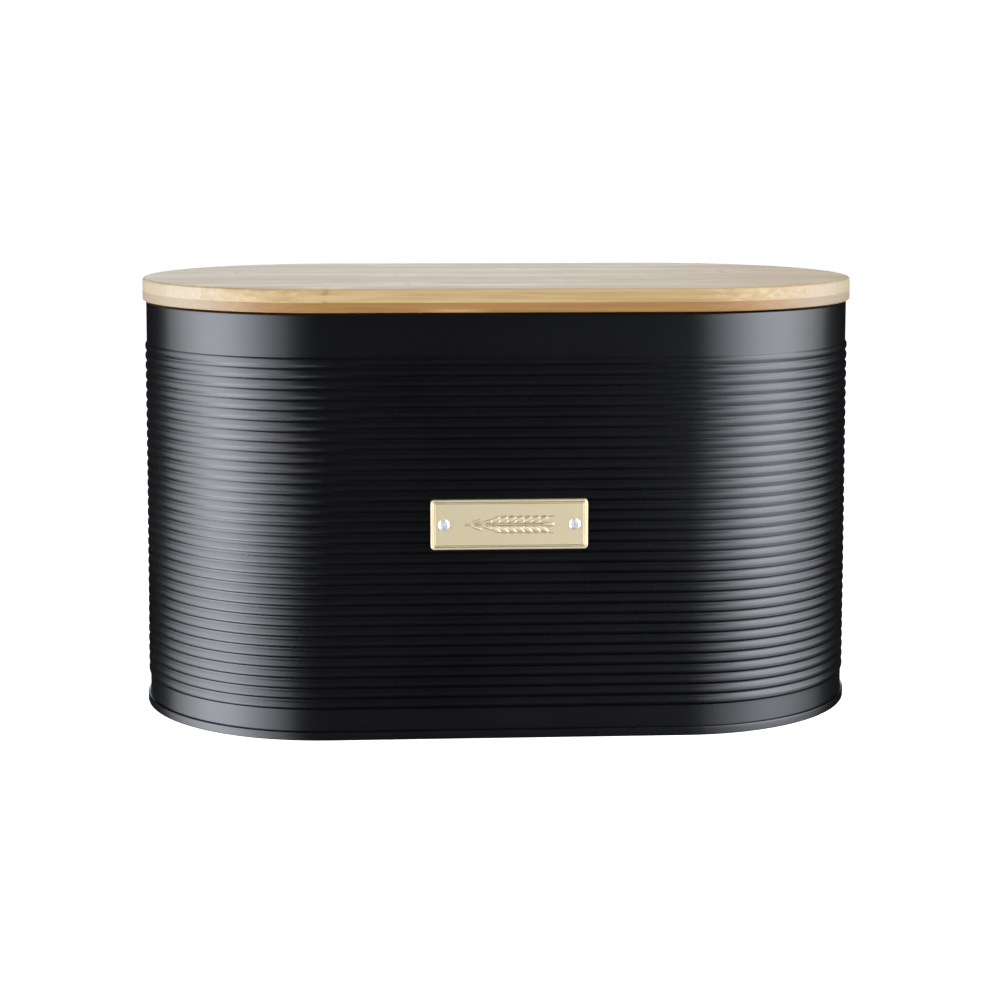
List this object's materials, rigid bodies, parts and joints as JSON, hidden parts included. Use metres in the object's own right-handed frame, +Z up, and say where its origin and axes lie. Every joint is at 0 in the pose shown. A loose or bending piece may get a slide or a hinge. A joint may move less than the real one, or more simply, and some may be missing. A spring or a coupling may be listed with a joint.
{
  "type": "bread bin",
  "caption": "Oval bread bin with a beaded coated-steel body, double-seamed base, riveted label plate and loose laminated bamboo lid.",
  "frame": {"origin": "centre of the foot ring, in the plane that the bin stands on", "axes": "+X along the bin's width, -Y out of the front face with the label, +Z up"},
  "size_m": [0.3382, 0.1776, 0.203],
  "materials": {
    "coated_steel": "satin black powder coat on sheet steel",
    "bamboo": "clear-oiled laminated bamboo, satin",
    "label_brass": "pale champagne gold, satin",
    "rivet_aluminium": "bright aluminium blind rivet",
    "stem_steel": "plain steel mandrel, sheared end",
    "seal_silicone": "translucent silicone"
  },
  "bodies": {
    "bin": {"wall_shell": "coated_steel", "base_pan": "coated_steel", "label_plate": "label_brass", "label_rivet_left": "rivet_aluminium", "label_rivet_right": "rivet_aluminium", "rivet_stem_left": "stem_steel", "rivet_stem_right": "stem_steel"},
    "lid": {"top_strip_1": "bamboo", "top_strip_2": "bamboo", "top_strip_3": "bamboo", "top_strip_4": "bamboo", "top_strip_5": "bamboo", "top_strip_6": "bamboo", "top_strip_7": "bamboo", "top_strip_8": "bamboo", "top_strip_9": "bamboo", "under_strip_1": "bamboo", "under_strip_2": "bamboo", "under_strip_3": "bamboo", "under_strip_4": "bamboo", "under_strip_5": "bamboo", "under_strip_6": "bamboo", "under_strip_7": "bamboo", "under_strip_8": "bamboo", "plug_strip_1": "bamboo", "plug_strip_2": "bamboo", "plug_strip_3": "bamboo", "plug_strip_4": "bamboo", "plug_strip_5": "bamboo", "plug_strip_6": "bamboo", "plug_strip_7": "bamboo", "plug_strip_8": "bamboo", "lid_seal": "seal_silicone"}
  },
  "joints": [
    {"name": "lid_lift", "type": "slide", "parent": "bin", "child": "lid", "axis": [0, 0, 1], "range_m": [0, 0.11]}
  ]
}
